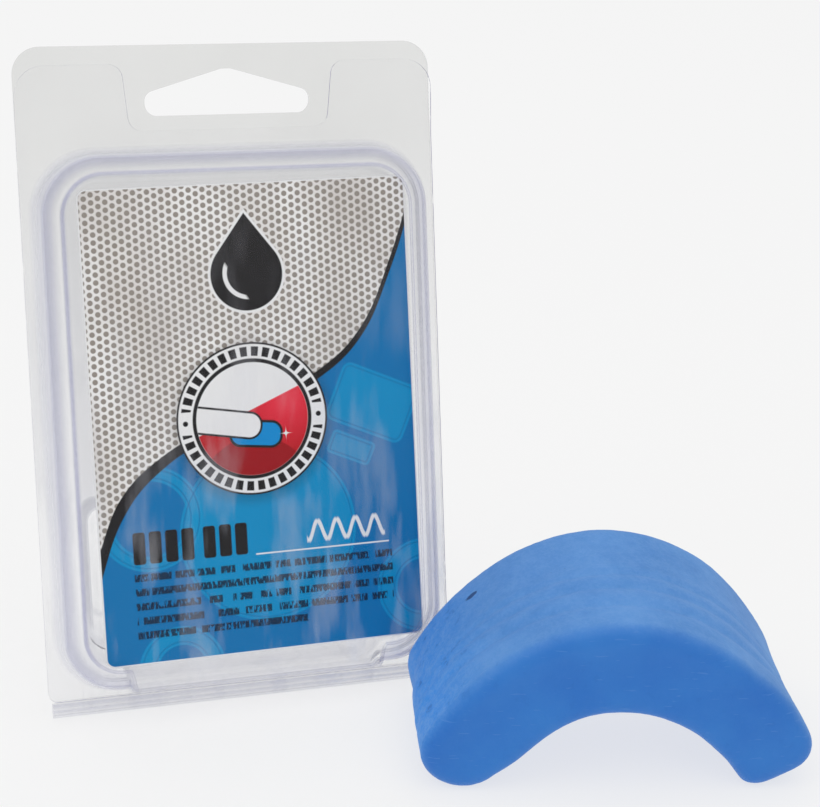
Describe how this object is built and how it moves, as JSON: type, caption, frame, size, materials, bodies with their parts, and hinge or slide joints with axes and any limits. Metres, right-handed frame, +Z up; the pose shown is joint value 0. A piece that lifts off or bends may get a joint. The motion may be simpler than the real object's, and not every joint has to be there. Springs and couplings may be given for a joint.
{
  "type": "detailing clay bar with clear hinged case",
  "caption": "Bent blue detailing clay bar standing on its two feet beside the clear hinged clamshell case and printed card it is sold with.",
  "frame": {"origin": "centre of the whole group's footprint, on the surface that it stands on", "axes": "+Z up; +X from the case to the clay bar, across the case's front; -Y out of the case's front, which leans back about 13.8 degrees"},
  "size_m": [0.155, 0.0986, 0.1351],
  "materials": {
    "clear_case": "gloss",
    "printed_card": "satin",
    "blue_clay": "matte"
  },
  "bodies": {
    "case": {"back_shell": "clear_case", "hinge_bead": "clear_case"},
    "front": {"front_shell": "clear_case", "insert_card": "printed_card"},
    "bar": {"clay_bar": "blue_clay"}
  },
  "joints": [
    {"name": "front_fold", "type": "hinge", "parent": "case", "child": "front", "pos_m": [-0.03348, 0.01421, 0.00326], "axis": [1, 0, 0], "range_deg": [0, 60]},
    {"name": "bar_slide", "type": "slide", "parent": "case", "child": "bar", "axis": [1, 0, 0], "range_m": [0, 0.0366]}
  ],
  "couplings": [
    {"joint": "bar_slide", "follows": "front_fold", "m_per_rad": 0.03495}
  ]
}
